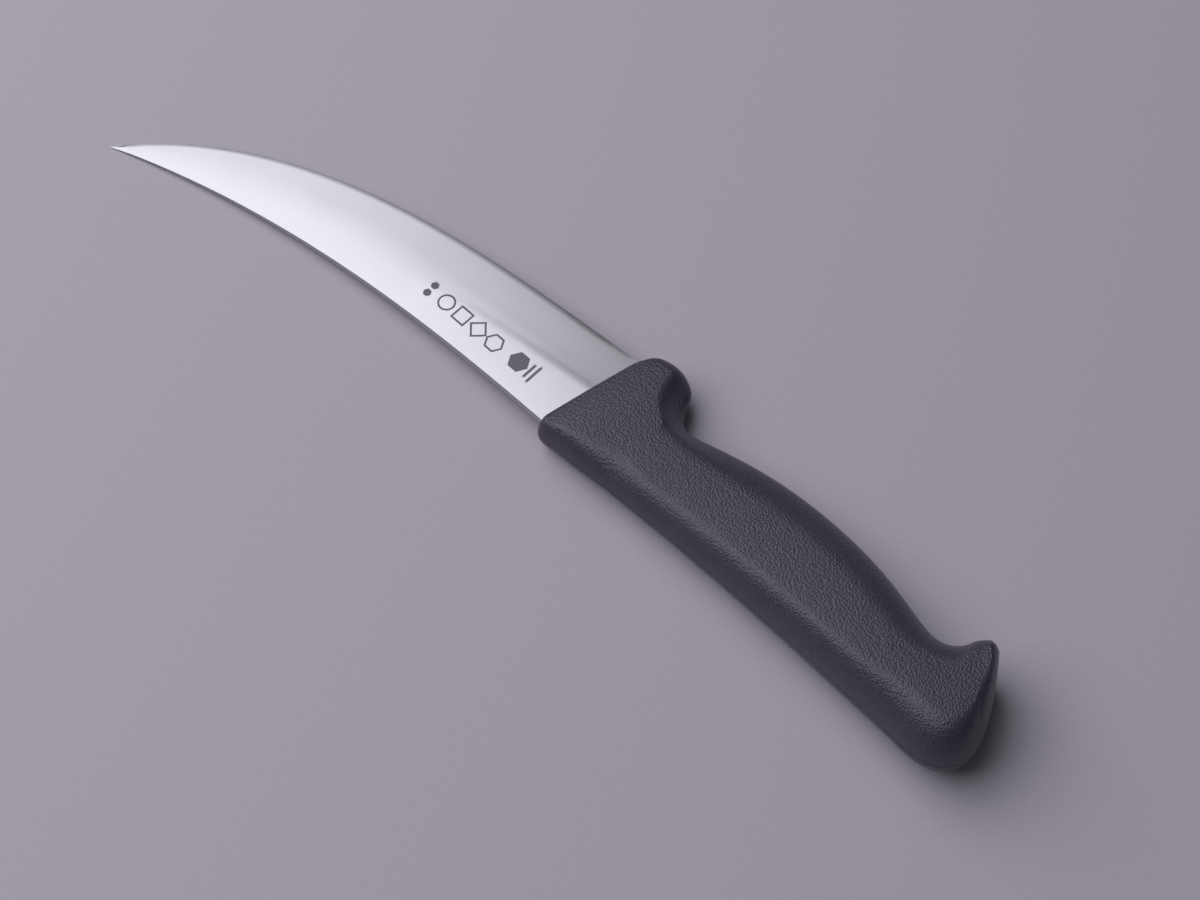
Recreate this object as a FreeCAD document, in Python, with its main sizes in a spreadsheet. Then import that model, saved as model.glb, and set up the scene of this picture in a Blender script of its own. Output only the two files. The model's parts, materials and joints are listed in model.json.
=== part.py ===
import FreeCAD, Part
import math
import os
import Sketcher

# A curved boning knife: a ground blade with a hidden tang, a rigid core moulded round
# the tang, and a soft grip moulded over the core. Each piece is drawn about the blade's
# middle plane, with +X to the tip and +Y to the spine, and then laid down on z = 0.

# Driving sizes in millimetres, as (name, value).
SIZES = [
    # Blade, from its spine corner where the steel leaves the grip.
    ("tip_reach", 138.2),
    ("tip_rise", 20.0),
    ("heel_drop", 28.2),
    ("front_slant", 5.9),
    ("heel_lead", 37.1),
    ("heel_lead_rise", 3.4),
    ("tip_lead", 34.1),
    ("tip_lead_drop", 44.4),
    ("spine_lead", 40.9),
    ("spine_tip_lead", 48.3),
    ("spine_tip_drop", 18.2),
    ("spine_thick", 2.0),
    ("grind_edge_thick", 0.45),
    ("bevel_width", 0.9),
    ("edge_thick", 0.12),
    ("bevel_start", 3.5),
    # Tang, and how deep the core covers it.
    ("tang_neck", 12.0),
    ("tang_end_radius", 4.0),
    ("tang_end_cover", 28.0),
    ("tang_spine_cover", 2.5),
    ("tang_edge_cover", 2.0),
    ("tang_hole", 5.0),
    ("tang_hole_first", 30.0),
    ("tang_hole_last", 14.0),
    # Rigid core, and how thick the grip is outside it.
    ("core_start", 7.0),
    ("core_top", 2.5),
    ("core_edge_radius", 2.5),
    ("butt_wall", 13.6),
    ("finger_wall", 4.6),
    ("front_side_wall", 4.0),
    ("back_side_wall", 3.25),
    # Grip.
    ("handle_length", 129.6),
    ("front_thick", 10.0),
    ("bolster_thick", 14.0),
    ("butt_thick", 21.5),
    ("spine_swell", 2.6),
    ("guard_overhang", 5.0),
    ("finger_drop", 23.5),
    ("belly_drop", 28.4),
    ("little_finger_drop", 22.1),
    ("hook_drop", 31.2),
    ("front_round", 0.5),
    ("side_round", 0.74),
]
TANG_HOLES = 3
LEAN_STEPS = 3


class Size:
    """A length held both as a number and as the sheet expression that gives it."""

    def __init__(self, value, text):
        self.value = value
        self.text = text

    def _joined(self, other, sign, value):
        text = other.text if isinstance(other, Size) else repr(float(other))
        return Size(value, "(" + self.text + " " + sign + " " + text + ")")

    def __add__(self, other):
        return self._joined(other, "+", self.value + number(other))

    def __sub__(self, other):
        return self._joined(other, "-", self.value - number(other))

    def __mul__(self, other):
        return self._joined(other, "*", self.value * number(other))

    def __truediv__(self, other):
        return self._joined(other, "/", self.value / number(other))

    def __rmul__(self, other):
        return self * other

    def __neg__(self):
        return Size(-self.value, "(0 - " + self.text + ")")


def number(size):
    """The plain number of a size or of a number."""
    return size.value if isinstance(size, Size) else float(size)


def constant(value):
    """A fixed length as a size."""
    return Size(float(value), repr(float(value)))


doc = FreeCAD.newDocument("boning_knife")
sheet = doc.addObject("Spreadsheet::Sheet", "Sizes")
for row, (name, value) in enumerate(SIZES, start=1):
    sheet.set("A%d" % row, name)
    sheet.set("B%d" % row, str(value))
    sheet.setAlias("B%d" % row, name)
doc.recompute()
size = {name: Size(float(sheet.get(name)), "Sizes." + name) for name, value in SIZES}
NOTHING = constant(0.0)


def between(start, end, share):
    """The value or point at the given share of the way from start to end."""
    if isinstance(start, tuple):
        return tuple(between(a, b, share) for a, b in zip(start, end))
    return start + (end - start) * share


def least(first, second):
    """The smaller of two sizes."""
    text = "min(" + first.text + "; " + second.text + ")"
    return Size(min(first.value, second.value), text)


def new_body(label):
    body = doc.addObject("PartDesign::Body", label)
    body.Label = label
    return body


def new_sketch(body, name, plane, offset=None):
    """A sketch on one of the body's own origin planes, moved off it by offset."""
    sketch = body.newObject("Sketcher::SketchObject", name)
    planes = [f for f in body.Origin.OriginFeatures if f.Role == plane]
    sketch.AttachmentSupport = [(planes[0], "")]
    sketch.MapMode = "FlatFace"
    if offset is not None:
        sketch.setExpression(".AttachmentOffset.Base.z", offset.text)
    return sketch


def pin(sketch, geometry, point, x, y):
    """Holds one point of the sketch at the sheet's x and y."""
    for kind, place in (("DistanceX", x), ("DistanceY", y)):
        index = sketch.addConstraint(
            Sketcher.Constraint(kind, -1, 1, geometry, point, place.value))
        sketch.setExpression("Constraints[%d]" % index, place.text)


def join(sketch, first, first_point, second, second_point):
    sketch.addConstraint(
        Sketcher.Constraint("Coincident", first, first_point, second, second_point))


def vector(point):
    return FreeCAD.Vector(point[0].value, point[1].value, 0)


def add_curve(sketch, poles, free_start=False):
    """A cubic curve whose poles are held by the sheet, but for a start joined later."""
    curve = Part.BSplineCurve()
    curve.buildFromPolesMultsKnots([vector(p) for p in poles], [4, 4], [0.0, 1.0], False, 3)
    index = sketch.addGeometry(curve, False)
    first_free = sketch.GeometryCount
    sketch.exposeInternalGeometry(index)
    for step, pole in enumerate(poles):
        if step > 0 or not free_start:
            pin(sketch, first_free + step, 3, pole[0], pole[1])
    return index


def add_polygon(sketch, points):
    """Straight sides between held points, closed."""
    count = len(points)
    first = sketch.GeometryCount
    for step in range(count):
        start = vector(points[step])
        end = vector(points[(step + 1) % count])
        sketch.addGeometry(Part.LineSegment(start, end), False)
    for step in range(count):
        join(sketch, first + step, 2, first + (step + 1) % count, 1)
        pin(sketch, first + step, 1, points[step][0], points[step][1])


def edges_at(shape, x, tall):
    """Names of the upright edges of the given height that stand at x."""
    names = []
    for index, edge in enumerate(shape.Edges, start=1):
        box = edge.BoundBox
        upright = box.XLength < 0.01 and box.YLength < 0.01
        if upright and abs(box.XMin - x.value) < 0.01 and abs(box.ZLength - tall.value) < 0.01:
            names.append("Edge%d" % index)
    return names


# Core and tang, set in from the grip and from each other ---------------------------------
guard_drop = size["heel_drop"] + size["guard_overhang"]
core_back = size["handle_length"] - size["butt_wall"]
core_bottom = least(size["finger_drop"], size["little_finger_drop"]) - size["finger_wall"]
core_front_thick = size["bolster_thick"] - size["front_side_wall"] * 2
core_back_thick = size["butt_thick"] - size["back_side_wall"] * 2
core_radius = least(size["core_edge_radius"], core_front_thick * 0.45)
tang_length = core_back - size["tang_end_cover"]
tang_top = size["core_top"] + size["tang_spine_cover"]
tang_bottom = core_bottom - size["tang_edge_cover"]

# Blade ----------------------------------------------------------------------------------
spine_corner = (NOTHING, NOTHING)
heel = (-size["front_slant"], -size["heel_drop"])
tip = (size["tip_reach"], size["tip_rise"])
edge_poles = [
    heel,
    (heel[0] + size["heel_lead"], heel[1] + size["heel_lead_rise"]),
    (tip[0] - size["tip_lead"], tip[1] - size["tip_lead_drop"]),
    tip,
]
spine_poles = [
    tip,
    (tip[0] - size["spine_tip_lead"], tip[1] - size["spine_tip_drop"]),
    (size["spine_lead"], NOTHING),
    spine_corner,
]

blade = new_body("blade")
outline = new_sketch(blade, "blade_outline", "XY_Plane")
edge_curve = add_curve(outline, edge_poles)
spine_curve = add_curve(outline, spine_poles, free_start=True)
tang_back = -tang_length
tang_points = [
    spine_corner,
    (-tang_top, -tang_top),
    (tang_back, -tang_top),
    (tang_back, -tang_bottom),
    (heel[0] - size["tang_neck"], -tang_bottom),
    heel,
]
tang_lines = []
for start, end in zip(tang_points, tang_points[1:]):
    tang_lines.append(outline.addGeometry(Part.LineSegment(vector(start), vector(end)), False))
for first, second in zip(tang_lines, tang_lines[1:]):
    join(outline, first, 2, second, 1)
for line, point in zip(tang_lines[1:], tang_points[1:]):
    pin(outline, line, 1, point[0], point[1])
join(outline, edge_curve, 2, spine_curve, 1)
join(outline, spine_curve, 2, tang_lines[0], 1)
join(outline, tang_lines[-1], 2, edge_curve, 1)
doc.recompute()
plate = blade.newObject("PartDesign::Pad", "blade_plate")
plate.Profile = outline
plate.Midplane = True
plate.setExpression("Length", size["spine_thick"].text)
doc.recompute()

holes = new_sketch(blade, "tang_holes", "XY_Plane")
tang_middle = -(tang_top + tang_bottom) / 2
first_hole = -size["tang_hole_first"]
last_hole = tang_back + size["tang_hole_last"]
for step in range(TANG_HOLES):
    across = between(first_hole, last_hole, step / (TANG_HOLES - 1))
    circle = holes.addGeometry(
        Part.Circle(FreeCAD.Vector(across.value, tang_middle.value, 0),
                    FreeCAD.Vector(0, 0, 1), size["tang_hole"].value / 2), False)
    pin(holes, circle, 3, across, tang_middle)
    index = holes.addConstraint(
        Sketcher.Constraint("Diameter", circle, size["tang_hole"].value))
    holes.setExpression("Constraints[%d]" % index, size["tang_hole"].text)
doc.recompute()
drilled = blade.newObject("PartDesign::Pocket", "tang_drilled")
drilled.Profile = holes
drilled.Type = "ThroughAll"
drilled.Midplane = True
doc.recompute()
rounded = blade.newObject("PartDesign::Fillet", "tang_rounded")
rounded.Base = (drilled, edges_at(drilled.Shape, tang_back, size["spine_thick"]))
rounded.setExpression("Radius", size["tang_end_radius"].text)
doc.recompute()


def cut_along_edge(name, length, inner_half, outer_half, start):
    """Cuts both faces of the plate to a slope that follows the cutting edge.

    The slope is inner_half from the middle plane at the given distance in from the edge,
    and outer_half at the edge itself.
    """
    path = new_sketch(blade, name + "_path", "XY_Plane")
    add_curve(path, start)
    wedge = new_sketch(blade, name + "_wedge", "YZ_Plane", start[0][0])
    slope = (inner_half - outer_half) / length
    edge = start[0][1]
    reach = length * 1.3
    clear = size["spine_thick"]
    add_polygon(wedge, [
        (edge - clear, outer_half - slope * clear),
        (edge + reach, outer_half + slope * reach),
        (edge + reach, outer_half + slope * reach + clear),
        (edge - clear, outer_half + slope * reach + clear),
    ])
    doc.recompute()
    cut = blade.newObject("PartDesign::SubtractivePipe", name)
    cut.Profile = wedge
    cut.Spine = (path, ["Edge1"])
    cut.Mode = "Standard"
    doc.recompute()
    blade.Tip = cut
    other_side = blade.newObject("PartDesign::Mirrored", name + "_other_side")
    other_side.Originals = [cut]
    planes = [f for f in blade.Origin.OriginFeatures if f.Role == "XY_Plane"]
    other_side.MirrorPlane = (planes[0], [""])
    blade.Tip = other_side
    doc.recompute()


spine_half = size["spine_thick"] / 2
grind_half = size["grind_edge_thick"] / 2
cut_along_edge("grind", size["heel_drop"], spine_half, grind_half, edge_poles)

# The sharpened bevel follows the same curve from a little way past the heel.
share = size["bevel_start"] / (size["heel_lead"] * 3)
first_leg = between(edge_poles[0], edge_poles[1], share)
second_leg = between(edge_poles[1], edge_poles[2], share)
third_leg = between(edge_poles[2], edge_poles[3], share)
first_bend = between(first_leg, second_leg, share)
second_bend = between(second_leg, third_leg, share)
bevel_poles = [between(first_bend, second_bend, share), second_bend, third_leg, tip]
shoulder_half = between(grind_half, spine_half, size["bevel_width"] / size["heel_drop"])
cut_along_edge("bevel", size["bevel_width"], shoulder_half, size["edge_thick"] / 2, bevel_poles)

# Rigid core, moulded round the tang ------------------------------------------------------
core_block = new_body("core_block")
core_ends = []
for name, back, thick in (("front", size["core_start"], core_front_thick),
                          ("back", core_back, core_back_thick)):
    end = new_sketch(core_block, "core_" + name, "YZ_Plane", -back)
    add_polygon(end, [
        (-size["core_top"], thick / 2),
        (-size["core_top"], -thick / 2),
        (-core_bottom, -thick / 2),
        (-core_bottom, thick / 2),
    ])
    core_ends.append(end)
doc.recompute()
core_bar = core_block.newObject("PartDesign::AdditiveLoft", "core_bar")
core_bar.Profile = core_ends[0]
core_bar.Sections = [core_ends[1]]
core_bar.Ruled = True
doc.recompute()
core_soft = core_block.newObject("PartDesign::Fillet", "core_rounded")
core_soft.Base = (core_bar, ["Edge%d" % (i + 1) for i in range(len(core_bar.Shape.Edges))])
core_soft.setExpression("Radius", core_radius.text)
doc.recompute()

# Soft grip, moulded over the core --------------------------------------------------------
swell = size["spine_swell"]
bolster_half = size["bolster_thick"] / 2
butt_half = size["butt_thick"] / 2
front_half = size["front_thick"] / 2
back = size["handle_length"]
# Each section of the grip: its place, its spine side, its edge side and half thickness.
# Those of the guard stand off the front, those of the hook off the butt.
sections = [
    (constant(4.0), swell * -0.3, -size["heel_drop"] + 4.0, front_half),
    (constant(-2.5), swell * 0.85, -size["heel_drop"] + 0.6,
     between(front_half, bolster_half, 0.4)),
    (constant(-10.0), swell, -guard_drop + 0.9, bolster_half - 0.2),
    (constant(-16.0), swell, -guard_drop + 0.2, bolster_half),
    (constant(-22.0), swell * 0.9, -size["finger_drop"] - 2.9, bolster_half),
    (constant(-29.0), swell * 0.75, -size["finger_drop"],
     between(bolster_half, butt_half, 0.1)),
    (-back * 0.4, swell * 0.55, -size["belly_drop"] + 1.1,
     between(bolster_half, butt_half, 0.36)),
    (-back * 0.53, swell * 0.55, -size["belly_drop"] + 0.2,
     between(bolster_half, butt_half, 0.54)),
    (-back * 0.68, swell * 0.6, -size["belly_drop"] + 2.6,
     between(bolster_half, butt_half, 0.74)),
    (-back + 25.6, swell * 0.75, -size["little_finger_drop"],
     between(bolster_half, butt_half, 0.9)),
    (-back + 19.6, swell * 0.85, -size["little_finger_drop"] - 2.0, butt_half * 0.99),
    (-back + 14.6, swell * 0.85, -size["hook_drop"] + 0.2, butt_half),
    (-back + 9.6, swell * 0.65, -size["hook_drop"] + 2.9, butt_half * 0.96),
    (-back + 4.6, swell * 0.5, -size["hook_drop"] + 10.4, butt_half * 0.88),
    (-back, swell * -0.8, -size["hook_drop"] + 20.8, butt_half * 0.35),
]


def add_oval(sketch, top, bottom, half, rounding):
    """Two rounded ends joined by two crowned cheeks, all four arcs tangent."""
    end = half * rounding
    reach = (top - bottom) / 2
    run = reach - end
    crown = (run * run + half * half - end * end) / ((half - end) * 2)
    middle = (top + bottom) / 2
    turn = math.atan2((crown - half).value, run.value)
    up = FreeCAD.Vector(0, 0, 1)
    ends = []
    for centre, facing in ((top - end, 0.0), (bottom + end, math.pi)):
        circle = Part.Circle(FreeCAD.Vector(centre.value, 0, 0), up, end.value)
        ends.append(sketch.addGeometry(
            Part.ArcOfCircle(circle, facing - turn, facing + turn), False))
    cheeks = []
    for side, facing in ((-1, math.pi / 2), (1, -math.pi / 2)):
        low = side * (crown - half).value
        circle = Part.Circle(FreeCAD.Vector(middle.value, low, 0), up, crown.value)
        lean = math.pi / 2 - turn
        cheeks.append(sketch.addGeometry(
            Part.ArcOfCircle(circle, facing - lean, facing + lean), False))
    corners = ((ends[0], 2, cheeks[0], 1), (cheeks[0], 2, ends[1], 1),
               (ends[1], 2, cheeks[1], 1), (cheeks[1], 2, ends[0], 1))
    for first, first_point, second, second_point in corners:
        sketch.addConstraint(
            Sketcher.Constraint("Tangent", first, first_point, second, second_point))
    pin(sketch, ends[0], 3, top - end, NOTHING)
    pin(sketch, ends[1], 3, bottom + end, NOTHING)
    for arc, radius in ((ends[0], end), (ends[1], end), (cheeks[0], crown), (cheeks[1], crown)):
        index = sketch.addConstraint(Sketcher.Constraint("Radius", arc, radius.value))
        sketch.setExpression("Constraints[%d]" % index, radius.text)


skin = new_body("skin")
skin_sections = []
for index, (place, top, bottom, half) in enumerate(sections):
    section = new_sketch(skin, "section_%02d" % index, "YZ_Plane", place)
    add_oval(section, top, bottom, half, size["front_round" if index < 2 else "side_round"])
    skin_sections.append(section)
doc.recompute()
skin_loft = skin.newObject("PartDesign::AdditiveLoft", "skin_loft")
skin_loft.Profile = skin_sections[0]
skin_loft.Sections = skin_sections[1:]
doc.recompute()
front_cut = new_sketch(skin, "front_line", "XY_Plane")
slant = size["front_slant"] / size["heel_drop"]
above = size["heel_drop"] / 2
below = size["heel_drop"] * 1.6
ahead = size["heel_drop"]
add_polygon(front_cut, [
    (slant * above, above),
    (-slant * below, -below),
    (ahead, -below),
    (ahead, above),
])
doc.recompute()
front_face = skin.newObject("PartDesign::Pocket", "front_face")
front_face.Profile = front_cut
front_face.Type = "ThroughAll"
front_face.Midplane = True
doc.recompute()

# The two mouldings take their inner shape from what they are moulded round ---------------


def moulded(label, outer, inner):
    """A named piece: the outer solid, less the solid that it was moulded round."""
    piece = doc.addObject("Part::Cut", label)
    piece.Label = label
    piece.Base = outer
    piece.Tool = inner
    doc.recompute()
    return piece


handle_core = moulded("handle_core", core_block, blade)
hollow_skin = moulded("hollow_skin", skin, core_block)
grip = moulded("grip", hollow_skin, blade)
pieces = [blade, handle_core, grip]

# Lay the knife down: the tip and the thick end of the grip both touch z = 0 ---------------

def leaned(shape, angle):
    """The shape's box once it is turned tip down about the cross axis."""
    copy = shape.copy()
    turn = FreeCAD.Rotation(FreeCAD.Vector(0, 1, 0), math.degrees(angle))
    copy.Placement = FreeCAD.Placement(FreeCAD.Vector(), turn).multiply(copy.Placement)
    return copy.optimalBoundingBox(False, False)


run = (size["tip_reach"] + size["handle_length"]).value
angle = math.atan2(size["butt_thick"].value / 2, run)
for step in range(LEAN_STEPS):
    gap = leaned(blade.Shape, angle).ZMin - leaned(grip.Shape, angle).ZMin
    angle += math.atan2(gap, run)
box = leaned(Part.makeCompound([piece.Shape for piece in pieces]), angle)
rest = FreeCAD.Placement(
    FreeCAD.Vector(-box.Center.x, -box.Center.y, -box.ZMin),
    FreeCAD.Rotation(FreeCAD.Vector(0, 1, 0), math.degrees(angle)))
for body in (blade, core_block, skin):
    body.Placement = rest
doc.recompute()

os.makedirs("parts", exist_ok=True)
for item in doc.Objects:
    if "Invalid" in item.State or "Error" in item.State:
        raise RuntimeError(item.Label + " did not compute")
for piece in pieces:
    if piece.Shape.isNull() or not piece.Shape.isValid() or len(piece.Shape.Solids) != 1:
        raise RuntimeError(piece.Label + " is not one valid solid")
    piece.Shape.exportStep(os.path.join("parts", piece.Label + ".step"))
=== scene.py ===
"""Looks of a curved boning knife: satin ground blade, hidden core, grained black grip."""

import json
import math

import bmesh
import bpy
import numpy as np
from bpy.props import FloatProperty, FloatVectorProperty, IntProperty, PointerProperty
from mathutils import Matrix, Vector


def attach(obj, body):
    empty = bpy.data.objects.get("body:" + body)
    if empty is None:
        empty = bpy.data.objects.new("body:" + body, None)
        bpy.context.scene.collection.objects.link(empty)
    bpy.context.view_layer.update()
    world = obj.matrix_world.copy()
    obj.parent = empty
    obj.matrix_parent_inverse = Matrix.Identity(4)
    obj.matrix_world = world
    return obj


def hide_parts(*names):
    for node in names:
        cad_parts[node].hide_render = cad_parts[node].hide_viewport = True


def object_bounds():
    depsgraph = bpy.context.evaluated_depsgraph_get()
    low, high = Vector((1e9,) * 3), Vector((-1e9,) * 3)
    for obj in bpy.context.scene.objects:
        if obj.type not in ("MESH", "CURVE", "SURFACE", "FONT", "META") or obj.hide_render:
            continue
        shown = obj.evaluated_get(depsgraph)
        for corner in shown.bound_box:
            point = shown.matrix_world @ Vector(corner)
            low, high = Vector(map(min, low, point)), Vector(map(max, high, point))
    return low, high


bl_info = {
    "name": "Boning Knife",
    "version": (1, 0, 0),
    "blender": (4, 5, 0),
    "location": "3D View > Sidebar > Knife",
    "description": "Builds a curved boning knife round its CAD frame",
    "category": "Add Mesh",
}

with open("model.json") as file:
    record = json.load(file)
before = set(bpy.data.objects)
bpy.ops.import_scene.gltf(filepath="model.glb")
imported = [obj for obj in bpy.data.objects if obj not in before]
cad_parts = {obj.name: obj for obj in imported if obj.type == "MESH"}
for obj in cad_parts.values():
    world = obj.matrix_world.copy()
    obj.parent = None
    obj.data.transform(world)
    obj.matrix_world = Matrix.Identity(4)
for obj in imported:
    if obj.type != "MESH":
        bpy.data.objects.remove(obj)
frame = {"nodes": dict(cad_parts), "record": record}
CAD_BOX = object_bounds()
MM = 0.001


# The blade's curve handles, in millimetres from its heel, its tip and its spine corner.
HEEL_HANDLE = (37.1, 3.4)
TIP_EDGE_HANDLE = (-34.1, -44.4)
TIP_SPINE_HANDLE = (-48.3, -18.2)
SPINE_HANDLE = (40.9, 0)

# The tang and the holes through it, in the knife's axes in millimetres.
TANG_TOP = -5.0
TANG_BOTTOM = -15.5
TANG_NECK = 12.0
TANG_CORNER_RADIUS = 4.0
TANG_SET_BACK = 0.4
TANG_HOLES_X = (-30.0, -52.0, -74.0)

# The finger hollow's centre, radius and slope, and how it fades towards the belly.
FINGER_X = -27.5
FINGER_Y = -29.5
FINGER_RADIUS = 13.0
FINGER_SLOPE = 7
BELLY_FADE_START = -20
BELLY_FADE_LENGTH = 12

AIM = Vector((-0.0190, 0.0029, 0.0080))
FLOOR_HALF = 4.0
SOFTBOX_DISTANCE = 1.2
SOFTBOX_COLOUR = (0.965, 0.955, 1.0)
ROOM_COLOUR = (0.90, 0.87, 1.0, 1)


# Sizes and colours ----------------------------------------------------------------------


def length(name, description, millimetres):
    return FloatProperty(
        name=name,
        description=description,
        default=millimetres * MM,
        unit="LENGTH",
        subtype="DISTANCE",
        precision=4,
    )


def colour(name, description, value):
    return FloatVectorProperty(
        name=name,
        description=description,
        default=value,
        size=3,
        min=0.0,
        max=1.0,
        subtype="COLOR",
    )


def share(name, description, value):
    return FloatProperty(
        name=name,
        description=description,
        default=value,
        min=0.0,
        max=1.0,
        subtype="FACTOR",
    )


class BladeSettings(bpy.types.PropertyGroup):
    """Sizes and finish of the blade and its tang."""

    tip_reach: length("Tip reach", "From the spine corner at the grip forward to the tip", 138.2)
    tip_rise: length("Tip rise", "Height of the tip over the spine corner", 20)
    heel_drop: length("Heel drop", "Depth of the blade where it leaves the grip", 28.2)
    front_slant: length("Front slant", "How far the heel lies behind the spine corner", 5.9)
    spine_thick: length("Spine thickness", "Thickness of the blade along its spine", 2)
    grind_thick: length("Ground thickness", "Thickness left behind the bevel", 0.4)
    bevel_width: length("Bevel width", "Width of the sharpened bevel", 0.8)
    bevel_start: length("Bevel start", "Unsharpened length in front of the heel", 3.5)
    edge_thick: length("Edge thickness", "Thickness at the cutting edge", 0.22)
    plunge_depth: length("Plunge depth", "Step of the grind line near the grip", 0.12)
    spine_relief: length("Spine relief", "How much the flats fall away at the spine", 0.14)
    tang_length: length("Tang length", "How far the tang reaches into the grip", 88)
    tang_hole: length("Tang hole", "Diameter of the holes through the tang", 5)
    steel: colour("Steel", "Colour of the ground steel", (0.61, 0.61, 0.642))
    mark: colour("Mark", "Colour of the etched marks", (0.105, 0.108, 0.145))
    roughness: share("Roughness", "Roughness of the satin steel", 0.30)


class GripSettings(bpy.types.PropertyGroup):
    """Sizes and finish of the moulded grip."""

    handle_length: length("Handle length", "From the spine corner back to the butt", 129.7)
    face_thick: length("Face thickness", "Thickness of the front face", 10.8)
    bolster_thick: length("Bolster thickness", "Thickness behind the front face", 14)
    butt_thick: length("Butt thickness", "Greatest thickness, near the butt", 21.5)
    scoop_depth: length("Scoop depth", "Depth of the finger hollow behind the guard", 5.6)
    seam_height: length("Seam height", "Height of the mould's parting line", 0.08)
    grain_size: length("Grain size", "Width of one pebble of the moulded grain", 0.55)
    plastic: colour("Plastic", "Colour of the grip's plastic", (0.070, 0.059, 0.094))
    core_plastic: colour("Core plastic", "Colour of the hidden core", (0.03, 0.03, 0.032))
    roughness: share("Roughness", "Roughness of the moulded plastic", 0.39)


class StageSettings(bpy.types.PropertyGroup):
    """Camera, lights and floor."""

    azimuth: FloatProperty(
        name="Azimuth",
        description="Camera's angle round the knife",
        default=math.radians(224.87),
        subtype="ANGLE",
    )
    elevation: FloatProperty(
        name="Elevation",
        description="Camera's angle over the floor",
        default=math.radians(63),
        subtype="ANGLE",
    )
    distance: length("Camera distance", "From the aim point to the camera", 673)
    lens: FloatProperty(name="Focal length", description="In millimetres", default=84.7)
    softbox_width: length("Softbox width", "Across the camera's view", 1300)
    softbox_depth: length("Softbox depth", "Along the camera's view", 1700)
    softbox_power: FloatProperty(name="Softbox power", description="In watts", default=11.6)
    surround: FloatProperty(name="Surround", description="Brightness of the room", default=0.055)
    floor: colour("Floor", "Colour of the floor", (0.68, 0.64, 0.72))
    floor_lumps: IntProperty(name="Floor grain", description="Grains per metre", default=900)


class KnifeSettings(bpy.types.PropertyGroup):
    """Everything about the knife and its stage."""

    blade: PointerProperty(type=BladeSettings, name="Blade", description="The blade")
    grip: PointerProperty(type=GripSettings, name="Grip", description="The grip")
    stage: PointerProperty(type=StageSettings, name="Stage", description="The stage")


def settings():
    return bpy.context.scene.boning_knife


# The knife's own axes -------------------------------------------------------------------


def knife_axes():
    """Matrix from the knife's axes, in millimetres, to the frame's, in metres.

    The knife's origin is its spine corner at the grip; +X runs to the tip and +Y to the
    spine. The record's block slot lies half way between the spine corner and the heel.
    """
    sizes = settings().blade
    slot = next(m for m in frame["record"]["mounts"] if m["name"] == "block_slot")
    along = Vector(slot["axis"]).normalized()
    across = Vector((0, 1, 0))
    corner = (
        Vector(slot["pos_m"]) + along * (sizes.front_slant / 2) + across * (sizes.heel_drop / 2)
    )
    turned = Matrix((along, across, along.cross(across))).transposed().to_4x4()
    return Matrix.Translation(corner) @ turned @ Matrix.Scale(MM, 4)


# Mesh helpers ---------------------------------------------------------------------------


def bezier(poles, shares):
    """Points of the cubic curve with these four poles, at the given shares of it."""
    t = np.asarray(shares)[:, None]
    a, b, c, d = (np.array(p, float) for p in poles)
    return a * (1 - t) ** 3 + 3 * b * t * (1 - t) ** 2 + 3 * c * t**2 * (1 - t) + d * t**3


def through(knots, values, places):
    """Smooth cubic curve that has the given values at its knots, read at the places."""
    gap = np.diff(knots)
    slope = np.diff(values, axis=0) / gap[:, None]
    count = len(knots)
    system = np.eye(count)
    wanted = np.zeros_like(values)
    for i in range(1, count - 1):
        system[i, i - 1] = gap[i - 1]
        system[i, i] = 2 * (gap[i - 1] + gap[i])
        system[i, i + 1] = gap[i]
        wanted[i] = 6 * (slope[i] - slope[i - 1])
    bend = np.linalg.solve(system, wanted)
    i = np.clip(np.searchsorted(knots, places) - 1, 0, count - 2)
    step = gap[i][:, None]
    after = ((places - knots[i]) / gap[i])[:, None]
    before = 1 - after
    straight = before * values[i] + after * values[i + 1]
    curved = (before**3 - before) * bend[i] + (after**3 - after) * bend[i + 1]
    return straight + curved * step**2 / 6


def ease(x):
    """0 below 0 and 1 above 1, with a smooth rise between."""
    x = np.clip(x, 0, 1)
    return x * x * (3 - 2 * x)


def new_piece(name, points, faces):
    """A closed mesh object from points in the knife's axes, placed in the frame."""
    axes = np.array(knife_axes())
    points = np.asarray(points) @ axes[:3, :3].T + axes[:3, 3]
    mesh = bpy.data.meshes.new(name)
    mesh.from_pydata(points.tolist(), [], faces)
    shape = bmesh.new()
    shape.from_mesh(mesh)
    bmesh.ops.remove_doubles(shape, verts=shape.verts, dist=1e-7)
    bmesh.ops.dissolve_degenerate(shape, edges=shape.edges, dist=1e-8)
    bmesh.ops.recalc_face_normals(shape, faces=shape.faces)
    shape.to_mesh(mesh)
    shape.free()
    piece = bpy.data.objects.new(name, mesh)
    bpy.context.scene.collection.objects.link(piece)
    return piece


def tube_faces(rows, ring):
    """Faces of a tube of rows, each a closed ring of points, with both ends closed.

    A ring runs over the top and back under the bottom, so its ends close with strips that
    join each point of the top to the one under it.
    """
    faces = []
    for row in range(rows - 1):
        for i in range(ring):
            j = (i + 1) % ring
            here, ahead = row * ring, (row + 1) * ring
            faces.append((here + i, here + j, ahead + j, ahead + i))
    for start in (0, (rows - 1) * ring):
        for i in range(ring // 2):
            over = (start + i, start + i + 1)
            under = (start + (ring - i - 1) % ring, start + (ring - i) % ring)
            faces.append(tuple(dict.fromkeys(over + under)))
    return faces


def combine(piece, tool, operation):
    """Joins or cuts the piece with the tool, which is used up."""
    modifier = piece.modifiers.new(operation.lower(), "BOOLEAN")
    modifier.operation = operation
    modifier.solver = "MANIFOLD"
    modifier.object = tool
    graph = bpy.context.evaluated_depsgraph_get()
    mesh = bpy.data.meshes.new_from_object(piece.evaluated_get(graph))
    if len(mesh.polygons) == 0:
        raise RuntimeError(f"{piece.name} is empty after {operation} with {tool.name}")
    piece.modifiers.clear()
    piece.data = mesh
    bpy.data.objects.remove(tool)


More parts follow.
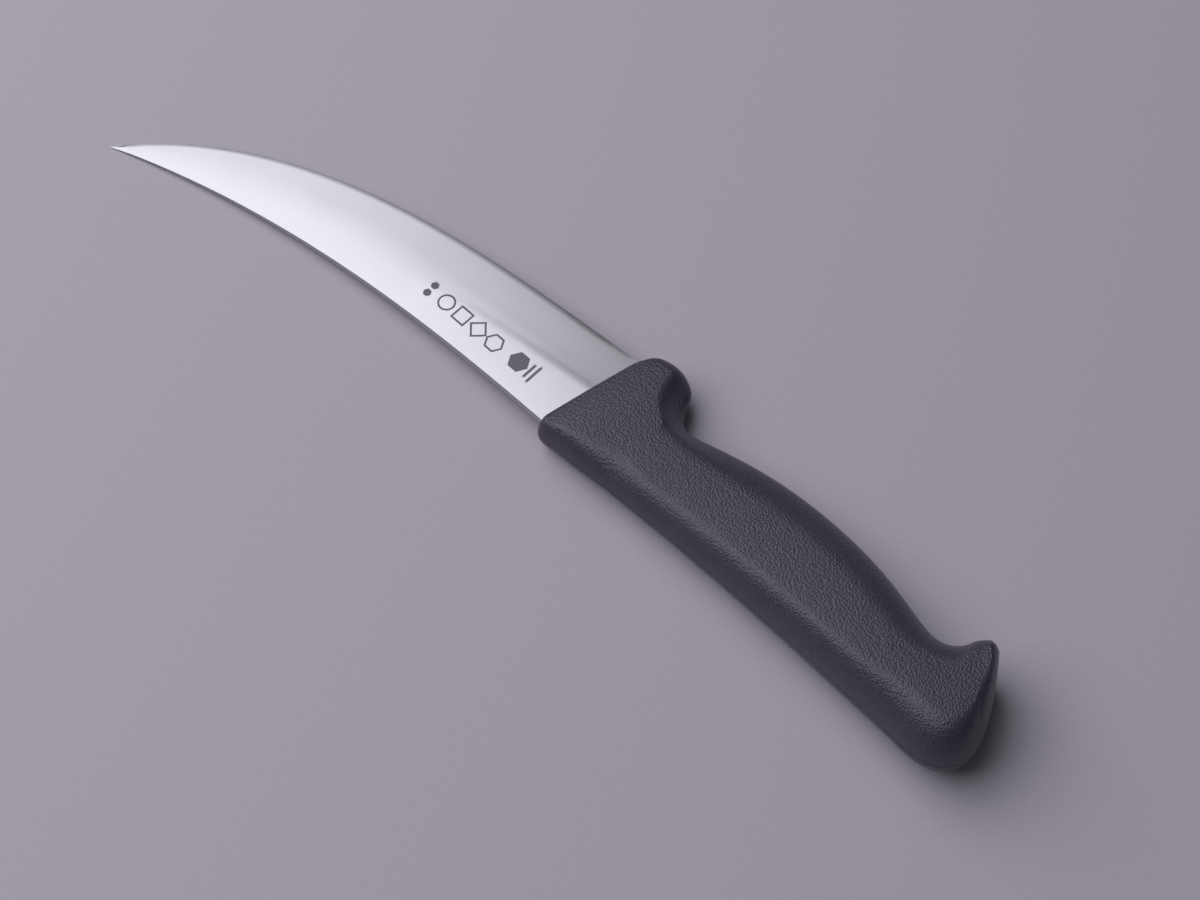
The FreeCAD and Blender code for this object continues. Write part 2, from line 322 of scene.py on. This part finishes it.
def finish_piece(piece, nodes, material, sharp_degrees):
    """Smooths the piece, gives it its finish and ties it to the frame."""
    mesh = piece.data
    mesh.shade_smooth()
    mesh.set_sharp_from_angle(angle=math.radians(sharp_degrees))
    mesh.materials.clear()
    mesh.materials.append(material)
    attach(piece, "root")
    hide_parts(*nodes)


# Shader helpers -------------------------------------------------------------------------


class Value:
    """One number running through a material. Arithmetic on it adds Math nodes."""

    def __init__(self, shader, socket):
        self.shader = shader
        self.socket = socket

    def math(self, operation, *others):
        inputs = {i: v for i, v in enumerate((self, *others))}
        return self.shader.add("ShaderNodeMath", {"operation": operation}, inputs)

    def __add__(self, other):
        return self.math("ADD", other)

    def __radd__(self, other):
        return self.math("ADD", other)

    def __sub__(self, other):
        return self.math("SUBTRACT", other)

    def __rsub__(self, other):
        return (self * -1.0).math("ADD", other)

    def __mul__(self, other):
        return self.math("MULTIPLY", other)

    def __rmul__(self, other):
        return self.math("MULTIPLY", other)

    def __truediv__(self, other):
        return self.math("DIVIDE", other)

    def __abs__(self):
        return self.math("ABSOLUTE")

    def limited(self):
        """Held between 0 and 1."""
        return self.math("MAXIMUM", 0.0).math("MINIMUM", 1.0)


class Shader:
    """A material under construction, with its Principled shader."""

    def __init__(self, name):
        self.material = bpy.data.materials.new(name)
        self.material.use_nodes = True
        self.tree = self.material.node_tree
        self.principled = self.tree.nodes["Principled BSDF"]

    def add(self, kind, options, inputs, output=0):
        """Adds a node with its options and inputs, and gives one of its outputs.

        Stops of a colour ramp are options too, as (place, grey) pairs.
        """
        node = self.tree.nodes.new(kind)
        for name, value in options.items():
            if name == "stops":
                ramp = node.color_ramp
                for i, (place, grey) in enumerate(value):
                    stop = ramp.elements[i] if i < 2 else ramp.elements.new(place)
                    stop.position = place
                    stop.color = (grey, grey, grey, 1)
            else:
                setattr(node, name, value)
        for name, value in inputs.items():
            self.feed(node.inputs[name], value)
        return Value(self, node.outputs[output])

    def feed(self, socket, value):
        """Links a value into a socket, or sets it there."""
        if isinstance(value, Value):
            self.tree.links.new(value.socket, socket)
        elif socket.type == "RGBA":
            socket.default_value = (*value, 1)
        else:
            socket.default_value = value

    def set(self, **inputs):
        """Sets the Principled shader's inputs, named with _ for a space."""
        for name, value in inputs.items():
            self.feed(self.principled.inputs[name.replace("_", " ")], value)

    def millimetres(self):
        """The surface point in the knife's own axes, in millimetres."""
        place = self.add("ShaderNodeTexCoord", {}, {}, "Object")
        back = knife_axes().inverted()
        inputs = {
            "Vector": place,
            "Location": back.to_translation(),
            "Rotation": back.to_euler(),
            "Scale": back.to_scale(),
        }
        return self.add("ShaderNodeMapping", {"vector_type": "POINT"}, inputs)

    def stretched(self, point, factors):
        """The point with its three parts multiplied by factors."""
        return self.add("ShaderNodeVectorMath", {"operation": "MULTIPLY"}, {0: point, 1: factors})

    def parts(self, point):
        """The x, y and z of a point, as values."""
        return [self.add("ShaderNodeSeparateXYZ", {}, {0: point}, axis) for axis in range(3)]

    def noise(self, point, scale, detail=2.0, roughness=0.5):
        inputs = {"Vector": point, "Scale": scale, "Detail": detail, "Roughness": roughness}
        return self.add("ShaderNodeTexNoise", {}, inputs, "Fac")

    def mixed(self, factor, first, second):
        """A colour between two others."""
        return self.add("ShaderNodeMix", {"data_type": "RGBA"}, {0: factor, 6: first, 7: second}, 2)

    def bump(self, height, strength, distance):
        inputs = {"Height": height, "Strength": strength, "Distance": distance}
        return self.add("ShaderNodeBump", {}, inputs)


# Materials ------------------------------------------------------------------------------


def ring_mark(x, y, radius, width):
    """How far inside a ring's line the point is, in millimetres."""
    squared = x * x + y * y
    return width / 2 - abs(squared.math("POWER", 0.5) - radius)


def square_mark(x, y, half, width):
    reach = abs(x).math("MAXIMUM", abs(y))
    return width / 2 - abs(reach - half)


def diamond_mark(x, y, half, width):
    return width / 2 - abs((abs(x) + abs(y)) * 0.7071 - half)


def hexagon_reach(x, y):
    return (abs(x) * 0.866 + abs(y) * 0.5).math("MAXIMUM", abs(y))


def etched_marks(x, y):
    """1 on the etched marks near the grip and 0 elsewhere.

    Two dots, a column of four plain outlines, a filled hexagon and two short bars.
    """
    column = y + 7.2
    size = 2.1
    line = 0.5
    shapes = [
        1.0 - hexagon_reach(x - 47.2, y + 5.9),
        1.0 - hexagon_reach(x - 47.2, y + 8.6),
        ring_mark(x - 41.6, column, size, line),
        square_mark(x - 36.0, column, size * 0.92, line),
        diamond_mark(x - 30.4, column, size * 0.86, line),
        line / 2 - abs(hexagon_reach(x - 24.8, column) - size),
        2.5 - hexagon_reach(x - 16.6, y + 7.6),
        0.35 - abs(x - 12.9).math("MAXIMUM", abs(y + 7.6) * 0.16),
        0.35 - abs(x - 11.4).math("MAXIMUM", abs(y + 7.6) * 0.13),
    ]
    inside = shapes[0]
    for shape in shapes[1:]:
        inside = inside.math("MAXIMUM", shape)
    return (inside * 12.0 + 0.5).limited()


def satin_steel():
    sizes = settings().blade
    shader = Shader("satin_steel")
    point = shader.millimetres()
    x, y, z = shader.parts(point)
    lines = shader.noise(shader.stretched(point, (9.0, 0.35, 9.0)), 1.0, 3.0, 0.65)
    patches = shader.noise(shader.stretched(point, (0.05, 0.12, 0.1)), 1.0, 2.0)
    scratches = shader.noise(shader.stretched(point, (0.5, 14.0, 3.0)), 1.0, 1.0)
    scratch = (scratches - 0.72).limited() * 6.0
    top_side = (z * 4.0).limited()
    marks = etched_marks(x, y) * top_side
    steel = Vector(sizes.steel)
    worn = shader.mixed(lines * 0.5 + patches * 0.5, steel * 0.955, steel * 1.03)
    shader.set(
        Base_Color=shader.mixed(marks * 0.8, worn, sizes.mark),
        Metallic=1.0 - marks * 0.75,
        Roughness=sizes.roughness + (lines - 0.5) * 0.1 + (patches - 0.5) * 0.05 + marks * 0.25,
        Normal=shader.bump(lines + scratch * 0.2 - marks * 0.5, 0.05, 0.00001),
    )
    return shader.material


def grained_plastic():
    """Charcoal plastic with pebble grain on its sides, painted highlights on the pebble tops, and a
    smooth band at the seam.
    """
    sizes = settings().grip
    shader = Shader("grained_plastic")
    point = shader.millimetres()
    height = shader.parts(point)[2]
    cells = 1 / (sizes.grain_size / MM)
    wander = shader.add(
        "ShaderNodeTexNoise", {}, {"Vector": point, "Scale": cells * 0.8, "Detail": 1.0}, "Color"
    )
    drift = shader.add(
        "ShaderNodeVectorMath",
        {"operation": "MULTIPLY_ADD"},
        {0: wander, 1: (0.35, 0.35, 0.35), 2: point},
    )
    pebbles = shader.add(
        "ShaderNodeTexVoronoi",
        {"feature": "SMOOTH_F1"},
        {"Vector": drift, "Scale": cells, "Smoothness": 0.25},
        "Distance",
    )
    fine = shader.noise(point, 4.0, 2.0, 0.6)
    cloud = shader.noise(point, 0.06, 2.0)
    grained = ((abs(height) - 0.8) * 0.8).limited()
    bead = (1.0 - pebbles * 1.3).limited()
    relief = (bead * 0.85 + fine * 0.15) * grained + (1.0 - grained) * 0.6
    plastic = Vector(sizes.plastic)
    # Base colour tone: random cloud and fine noise, plus a painted highlight that lightens the
    # pebble tops and leaves painted shade in the hollows between them.
    tone_and_pebble_highlight = (bead * grained * 0.35 + cloud * 0.5 + fine * 0.15).limited()
    shader.set(
        IOR=1.62,
        Base_Color=shader.mixed(tone_and_pebble_highlight, plastic * 0.78, plastic * 1.22),
        Roughness=sizes.roughness + (cloud - 0.5) * 0.08 - bead * grained * 0.06,
        Normal=shader.bump(relief, 0.9, 0.00014),
    )
    return shader.material


def core_plastic():
    """Rigid black plastic with faint flow marks, hidden inside the grip."""
    shader = Shader("core_plastic")
    point = shader.millimetres()
    flow = shader.noise(shader.stretched(point, (0.1, 1.2, 1.2)), 1.0, 3.0)
    plastic = Vector(settings().grip.core_plastic)
    shader.set(
        Base_Color=shader.mixed(flow, plastic * 0.8, plastic * 1.25),
        Roughness=0.42 + (flow - 0.5) * 0.12,
        Normal=shader.bump(flow, 0.2, 0.00005),
    )
    return shader.material


def floor_paint():
    """Pale card with a fine fibre grain."""
    stage = settings().stage
    shader = Shader("floor_card")
    place = shader.add("ShaderNodeTexCoord", {}, {}, "Object")
    fibre = shader.noise(place, float(stage.floor_lumps), 3.0, 0.7)
    card = Vector(stage.floor)
    shader.set(
        Base_Color=shader.mixed(fibre, card * 0.95, card * 1.05),
        Roughness=0.85,
        Normal=shader.bump(fibre, 0.15, 0.0003),
    )
    return shader.material


# Blade ----------------------------------------------------------------------------------


def moved(point, step):
    return (point[0] + step[0], point[1] + step[1])


def blade_curves(sizes, shares):
    """Points of the cutting edge and of the spine, from the grip to the tip."""
    tip = (sizes.tip_reach / MM, sizes.tip_rise / MM)
    heel = (-sizes.front_slant / MM, -sizes.heel_drop / MM)
    edge_poles = [heel, moved(heel, HEEL_HANDLE), moved(tip, TIP_EDGE_HANDLE), tip]
    spine_poles = [(0, 0), SPINE_HANDLE, moved(tip, TIP_SPINE_HANDLE), tip]
    return bezier(edge_poles, shares), bezier(spine_poles, shares)


def blade_rows(sizes):
    """Rings of points round the blade, from just inside the grip to the tip."""
    rows = 260
    shares = 1 - (1 - np.linspace(0, 1, rows)) ** 1.25
    shares[0] = -0.01
    shares[-1] = 0.9985
    edge, spine = blade_curves(sizes, shares)
    across = spine - edge
    width = np.linalg.norm(across, axis=1)
    across = across / width[:, None]
    run = np.gradient(edge, axis=0)
    run = run / np.linalg.norm(run, axis=1)[:, None]
    squareness = np.abs(run[:, 0] * across[:, 1] - run[:, 1] * across[:, 0])
    travelled = np.concatenate([[0], np.cumsum(np.linalg.norm(np.diff(edge, axis=0), axis=1))])
    travelled = np.maximum(travelled - np.interp(0, shares, travelled), 0)

    spine_half = sizes.spine_thick / MM / 2
    ground_half = sizes.grind_thick / MM / 2
    edge_half = sizes.edge_thick / MM / 2
    sharpened = ease((travelled - sizes.bevel_start / MM) / 11)
    bevel = np.minimum(sizes.bevel_width / MM / squareness, width * 0.3)
    bevel = bevel * np.maximum(sharpened, 0.02)
    depth = width * squareness
    reached = (travelled / travelled[-1])[:, None]
    grind = depth[:, None] * (0.5 + 0.42 * reached)
    thin = ground_half * np.clip(width / 4, 0.3, 1)[:, None]
    taper = np.clip(depth * MM / sizes.heel_drop, 0, 1)[:, None]
    thick = thin + (spine_half - ground_half) * taper
    plunge = sizes.plunge_depth / MM * (1 - ease(travelled / 85))
    corner = np.minimum(0.15, width * 0.05)

    columns = [np.zeros(rows), bevel]
    inner = 26
    for i in range(1, inner + 1):
        columns.append(bevel + (width - corner - bevel) * i / inner)
    columns.append(width)
    columns = np.array(columns).T
    inward = columns * squareness[:, None]
    into = (grind - inward) / grind
    soft = 0.22 + 0.5 * reached
    slope = np.where(into > soft, into - soft / 2, np.where(into > 0, into**2 / (2 * soft), 0))
    slope = slope / (1 - soft / 2)
    half = thick - (thick - thin) * slope
    half = half - plunge[:, None] * ease(into / 0.16) * (1 - ease((into - 0.2) / 0.8))
    near_spine = np.clip(1 - (width[:, None] - columns) / 12, 0, 1)
    half = half - sizes.spine_relief / MM * near_spine**2 * np.clip(width / 20, 0, 1)[:, None]
    half[:, 0] = thin[:, 0] + (edge_half - ground_half) * sharpened
    half[:, 0] = np.minimum(half[:, 0], half[:, 1])
    half[:, -1] = half[:, -2] - corner

    places = edge[:, None, :] + across[:, None, :] * columns[:, :, None]
    top = np.concatenate([places, half[:, :, None]], axis=2)
    bottom = top[:, ::-1, :] * (1, 1, -1)
    return np.concatenate([top, bottom], axis=1)


def tang_plate(sizes):
    """The tang: a flat plate with a rounded end.

    It starts a little behind the grip's front and is a little thinner than the blade,
    so that no two faces lie on each other where they join.
    """
    half = sizes.spine_thick / MM / 2 - 0.02
    corner = (-TANG_SET_BACK, -0.3)
    heel = (-sizes.front_slant / MM - TANG_SET_BACK, -sizes.heel_drop / MM + TANG_SET_BACK)
    back = -sizes.tang_length / MM
    radius = TANG_CORNER_RADIUS
    centre_x = back + radius
    outline = [corner, (TANG_TOP, TANG_TOP)]
    for centre_y, first in ((TANG_TOP - radius, 90), (TANG_BOTTOM + radius, 180)):
        for angle in np.radians(np.linspace(first, first + 90, 13)):
            rounded = (centre_x + radius * math.cos(angle), centre_y + radius * math.sin(angle))
            outline.append(rounded)
    outline += [(heel[0] - TANG_NECK, TANG_BOTTOM), heel]
    count = len(outline)
    points = [(x, y, half) for x, y in outline] + [(x, y, -half) for x, y in outline]
    faces = [tuple(range(count)), tuple(range(2 * count - 1, count - 1, -1))]
    faces += [(i, (i + 1) % count, (i + 1) % count + count, i + count) for i in range(count)]
    return points, faces


def round_bar(name, x, y, radius, half_height, sides=48):
    """A closed round bar along the knife's z, to drill with."""
    points = []
    for z in (half_height, -half_height):
        for angle in np.linspace(0, 2 * math.pi, sides, endpoint=False):
            points.append((x + radius * math.cos(angle), y + radius * math.sin(angle), z))
    faces = [tuple(range(sides)), tuple(range(2 * sides - 1, sides - 1, -1))]
    faces += [(i, (i + 1) % sides, (i + 1) % sides + sides, i + sides) for i in range(sides)]
    return new_piece(name, points, faces)


def blade_solid(name):
    """The whole blade with its drilled tang, in one closed mesh."""
    sizes = settings().blade
    rings = blade_rows(sizes)
    rows, ring = rings.shape[:2]
    piece = new_piece(name, rings.reshape(-1, 3), tube_faces(rows, ring))
    combine(piece, new_piece("tang", *tang_plate(sizes)), "UNION")
    for x in TANG_HOLES_X:
        bar = round_bar("drill", x, (TANG_TOP + TANG_BOTTOM) / 2, sizes.tang_hole / MM / 2, 4.0)
        combine(piece, bar, "DIFFERENCE")
    return piece


class KNIFE_OT_blade(bpy.types.Operator):
    """Builds the ground blade with its tang"""

    bl_idname = "knife.blade"
    bl_label = "Blade"

    def execute(self, context):
        piece = blade_solid("ground_blade")
        finish_piece(piece, ["blade"], satin_steel(), 7)
        return {"FINISHED"}


# Core -----------------------------------------------------------------------------------


class KNIFE_OT_core(bpy.types.Operator):
    """Gives the frame's rigid core its plastic"""

    bl_idname = "knife.core"
    bl_label = "Core finish"

    def execute(self, context):
        core = frame["nodes"]["handle_core"]
        finish = core_plastic()
        for slot in core.material_slots:
            slot.material = finish
        return {"FINISHED"}


# Grip -----------------------------------------------------------------------------------


def grip_lines(sizes):
    """Lines across the grip, from its front face to the tip of its hook.

    Each is (point on the spine side, point on the edge side, the two sides' rounding).
    The guard, the finger hollow, the belly and the hook follow each other along the edge
    side, while the spine side runs straight to the butt and down round it.
    """
    back = -sizes.handle_length / MM
    return [
        ((0.35, 1.7), (-6.05, -28.9), 2.0, 2.6),
        ((-0.9, 3.0), (-7.4, -30.9), 2.6, 3.0),
        ((-5.0, 3.1), (-10.6, -32.4), 3.6, 3.6),
        ((-12.0, 2.8), (-15.6, -32.4), 5.0, 4.0),
        ((-19.0, 2.3), (-19.9, -30.0), 6.4, 4.2),
        ((-24.0, 2.0), (-21.9, -26.0), 7.5, 4.5),
        ((-29.0, 1.8), (-24.8, -22.6), 6.2, 6.0),
        ((-37.0, 1.5), (-31.5, -22.9), 6.2, 8.5),
        ((-50.0, 1.2), (-46.0, -26.2), 6.2, 10.0),
        ((-65.0, 1.1), (-62.0, -27.8), 6.2, 10.5),
        ((-80.0, 1.2), (-78.0, -27.3), 6.2, 10.5),
        ((-93.0, 1.5), (-91.0, -25.2), 6.2, 10.0),
        ((back + 25, 1.9), (back + 28.5, -22.6), 7.5, 9.0),
        ((back + 16, 2.4), (back + 21.8, -22.2), 9.0, 7.5),
        ((back + 8.9, 2.5), (back + 18.6, -24.6), 9.0, 7.0),
        ((back + 2.9, 0.2), (back + 17.3, -26.9), 8.5, 6.0),
        ((back, -5.2), (back + 16.3, -28.1), 7.5, 5.5),
        ((back + 1.0, -11.9), (back + 15.4, -28.8), 6.5, 5.0),
        ((back + 4.0, -18.2), (back + 14.5, -29.3), 5.5, 4.6),
        ((back + 7.5, -23.8), (back + 13.4, -29.5), 4.2, 4.0),
        ((back + 9.9, -27.1), (back + 12.4, -29.3), 3.6, 3.4),
        ((back + 10.9, -28.4), (back + 11.6, -28.9), 3.0, 3.0),
    ]


def grip_half(sizes, x, y):
    """Half the grip's thickness at a point of its flat middle, before the sides round off."""
    bolster = sizes.bolster_thick / MM / 2
    butt = sizes.butt_thick / MM / 2
    face = sizes.face_thick / MM / 2
    half = bolster + (butt - bolster) * ease((-x - 12) / 112) ** 0.9

    slant = settings().blade.front_slant / settings().blade.heel_drop
    behind = np.maximum((y * slant - x) / math.hypot(1, slant), 0)
    half = half - (bolster - face) * np.clip(1 - behind / 12, 0, 1) ** 2
    corner = 1.3
    short = np.clip(corner - behind, 0, corner)
    half = half - (corner - np.sqrt(corner**2 - short**2))

    past = FINGER_RADIUS - np.hypot(np.maximum(x - FINGER_X, 0), y - FINGER_Y)
    towards_belly = np.exp(-np.clip(BELLY_FADE_START - x, 0, None) / BELLY_FADE_LENGTH)
    return half - sizes.scoop_depth / MM * ease(past / FINGER_SLOPE) * towards_belly


def seam_height(sizes, along):
    """Height of the parting line, with a few specks of flash towards the butt."""
    flecks = np.sin(along * 2.3) * np.sin(along * 3.7 + 1) * np.sin(along * 0.9 + 2)
    return sizes.seam_height / MM * (1 + 1.2 * ease(flecks * 3) * ease((along - 90) / 20))


def grip_rings(sizes):
    """Rings of points round the grip, from its front face to the tip of its hook."""
    lines = grip_lines(sizes)
    table = np.array([(*a, *b, r, s) for a, b, r, s in lines])
    stride = np.linalg.norm(np.diff(table[:, :4], axis=0), axis=1) / math.sqrt(2)
    knots = np.concatenate([[0], np.cumsum(stride)])
    end = knots[-1]
    front = np.linspace(0, 3, 22)[:-1]
    middle_run = np.linspace(3, end - 3, 330)[:-1]
    places = np.concatenate([front, middle_run, np.linspace(end - 3, end, 16)])
    run = through(knots, table, places)
    spine_side, edge_side = run[:, 0:2], run[:, 2:4]
    rounding = run[:, 4:6]

    across = edge_side - spine_side
    width = np.linalg.norm(across, axis=1)
    across = across / width[:, None]
    reach = []
    for side, radius, sign in ((spine_side, rounding[:, 0], 1), (edge_side, rounding[:, 1], -1)):
        tangent = np.gradient(side, places, axis=0)
        tangent = tangent / (np.linalg.norm(tangent, axis=1)[:, None] + 1e-9)
        square = np.abs(tangent[:, 0] * across[:, 1] - tangent[:, 1] * across[:, 0])
        reach.append(radius / np.clip(square, 0.5, 1))
    fit = 0.94 * width / (reach[0] + reach[1])
    fit = fit / (1 + fit**6) ** (1 / 6)
    left, right = reach[0] * fit, reach[1] * fit
    centre = (spine_side + edge_side) / 2
    to_end = np.linalg.norm(centre - centre[-1], axis=1)
    rise = np.clip(0.08 + to_end / 8.0, 0, 1)
    crest = np.sqrt(1 - (1 - rise) ** 2)

    angles = np.concatenate([[0, 0.016], np.linspace(0.016, math.pi / 2, 18)[1:]])
    flat = 22
    columns, lift = [], []
    for angle in angles:
        columns.append(left * (1 - math.cos(angle)))
        lift.append(math.sin(angle))
    for i in range(1, flat):
        columns.append(left + (width - left - right) * i / flat)
        lift.append(1)
    for angle in angles[::-1]:
        columns.append(width - right * (1 - math.cos(angle)))
        lift.append(math.sin(angle))
    columns = np.array(columns).T
    ridge = seam_height(sizes, places)
    columns[:, 0] -= ridge
    columns[:, -1] += ridge
    flat_places = spine_side[:, None, :] + across[:, None, :] * columns[:, :, None]
    middle = 2 * columns / width[:, None] - 1
    crown = 1 - 0.08 * middle**2
    half = grip_half(sizes, flat_places[:, :, 0], flat_places[:, :, 1])
    half = half * crown * crest[:, None] * np.array(lift)[None, :]
    top = np.concatenate([flat_places, half[:, :, None]], axis=2)
    bottom = top[:, -2:0:-1, :] * (1, 1, -1)
    return np.concatenate([top, bottom], axis=1)


def core_block(name):
    """A closed block with the outer shape of the frame's core."""
    block = frame["nodes"]["handle_core"].copy()
    block.data = block.data.copy()
    block.name = name
    block.parent = None
    bpy.context.scene.collection.objects.link(block)
    shape = bmesh.new()
    shape.from_mesh(block.data)
    hull = bmesh.ops.convex_hull(shape, input=shape.verts)
    left_over = hull["geom_interior"] + hull["geom_unused"]
    inside = [g for g in left_over if isinstance(g, bmesh.types.BMVert)]
    kept = {f for f in hull["geom"] if isinstance(f, bmesh.types.BMFace)}
    bmesh.ops.delete(shape, geom=[f for f in shape.faces if f not in kept], context="FACES")
    bmesh.ops.delete(shape, geom=[v for v in inside if v.is_valid], context="VERTS")
    bmesh.ops.recalc_face_normals(shape, faces=shape.faces)
    shape.to_mesh(block.data)
    shape.free()
    return block


class KNIFE_OT_grip(bpy.types.Operator):
    """Builds the moulded grip as a shell round the core and the tang"""

    bl_idname = "knife.grip"
    bl_label = "Grip"

    def execute(self, context):
        rings = grip_rings(settings().grip)
        rows, ring = rings.shape[:2]
        piece = new_piece("moulded_grip", rings.reshape(-1, 3), tube_faces(rows, ring))
        combine(piece, core_block("core_cutter"), "DIFFERENCE")
        combine(piece, blade_solid("blade_cutter"), "DIFFERENCE")
        finish_piece(piece, ["grip"], grained_plastic(), 38)
        return {"FINISHED"}


# Stage ----------------------------------------------------------------------------------


def add_camera(stage):
    data = bpy.data.cameras.new("camera")
    data.lens = stage.lens
    data.sensor_width = 36
    camera = bpy.data.objects.new("camera", data)
    back = Vector(
        (
            math.sin(stage.azimuth) * math.cos(stage.elevation),
            -math.cos(stage.azimuth) * math.cos(stage.elevation),
            math.sin(stage.elevation),
        )
    )
    camera.location = AIM + back * stage.distance
    camera.rotation_mode = "QUATERNION"
    camera.rotation_quaternion = (-back).to_track_quat("-Z", "Y")
    bpy.context.scene.collection.objects.link(camera)
    bpy.context.scene.camera = camera


def add_softbox(stage):
    """A large soft light to the left of the camera's view, its sides square with the view."""
    data = bpy.data.lights.new("softbox", "AREA")
    data.shape = "RECTANGLE"
    data.size = stage.softbox_width
    data.size_y = stage.softbox_depth
    data.energy = stage.softbox_power
    data.color = SOFTBOX_COLOUR
    light = bpy.data.objects.new("softbox", data)
    left = Vector((-math.cos(stage.azimuth), -math.sin(stage.azimuth), 0))
    ahead = Vector((-math.sin(stage.azimuth), math.cos(stage.azimuth), 0))
    towards = (left * 0.51 + ahead * 0.24 + Vector((0, 0, 0.82))).normalized()
    side = (left - towards * left.dot(towards)).normalized()
    turned = Matrix((side, towards.cross(side), towards)).transposed()
    light.rotation_mode = "QUATERNION"
    light.rotation_quaternion = turned.to_quaternion()
    light.location = AIM + towards * SOFTBOX_DISTANCE
    bpy.context.scene.collection.objects.link(light)


class KNIFE_OT_stage(bpy.types.Operator):
    """Sets up the floor, the soft light and the camera"""

    bl_idname = "knife.stage"
    bl_label = "Stage"

    def execute(self, context):
        stage = settings().stage
        half = FLOOR_HALF
        mesh = bpy.data.meshes.new("floor")
        corners = [(-half, -half, 0), (half, -half, 0), (half, half, 0), (-half, half, 0)]
        mesh.from_pydata(corners, [], [(0, 1, 2, 3)])
        mesh.materials.append(floor_paint())
        floor = bpy.data.objects.new("floor", mesh)
        floor.location.z = CAD_BOX[0].z
        context.scene.collection.objects.link(floor)
        add_softbox(stage)
        world = bpy.data.worlds.new("studio")
        world.use_nodes = True
        background = world.node_tree.nodes["Background"]
        background.inputs["Color"].default_value = ROOM_COLOUR
        background.inputs["Strength"].default_value = stage.surround
        context.scene.world = world
        context.scene.view_settings.view_transform = "Standard"
        add_camera(stage)
        return {"FINISHED"}


# Add-on ---------------------------------------------------------------------------------

BUILDERS = (KNIFE_OT_blade, KNIFE_OT_core, KNIFE_OT_grip, KNIFE_OT_stage)


class KNIFE_PT_panel(bpy.types.Panel):
    """Lists the knife's pieces and their settings"""

    bl_idname = "KNIFE_PT_panel"
    bl_label = "Boning Knife"
    bl_space_type = "VIEW_3D"
    bl_region_type = "UI"
    bl_category = "Knife"

    def draw(self, context):
        for builder in BUILDERS:
            self.layout.operator(builder.bl_idname, text=builder.bl_label)
        knife = context.scene.boning_knife
        for group in (knife.blade, knife.grip, knife.stage):
            box = self.layout.box()
            for name in group.bl_rna.properties.keys():
                if name not in ("rna_type", "name"):
                    box.prop(group, name)


CLASSES = (BladeSettings, GripSettings, StageSettings, KnifeSettings, *BUILDERS, KNIFE_PT_panel)


def register():
    for entry in CLASSES:
        bpy.utils.register_class(entry)
    bpy.types.Scene.boning_knife = PointerProperty(type=KnifeSettings)


def unregister():
    del bpy.types.Scene.boning_knife
    for entry in reversed(CLASSES):
        bpy.utils.unregister_class(entry)


def main():
    register()
    for builder in BUILDERS:
        group, name = builder.bl_idname.split(".")
        getattr(getattr(bpy.ops, group), name)()


if __name__ == "__main__":
    main()
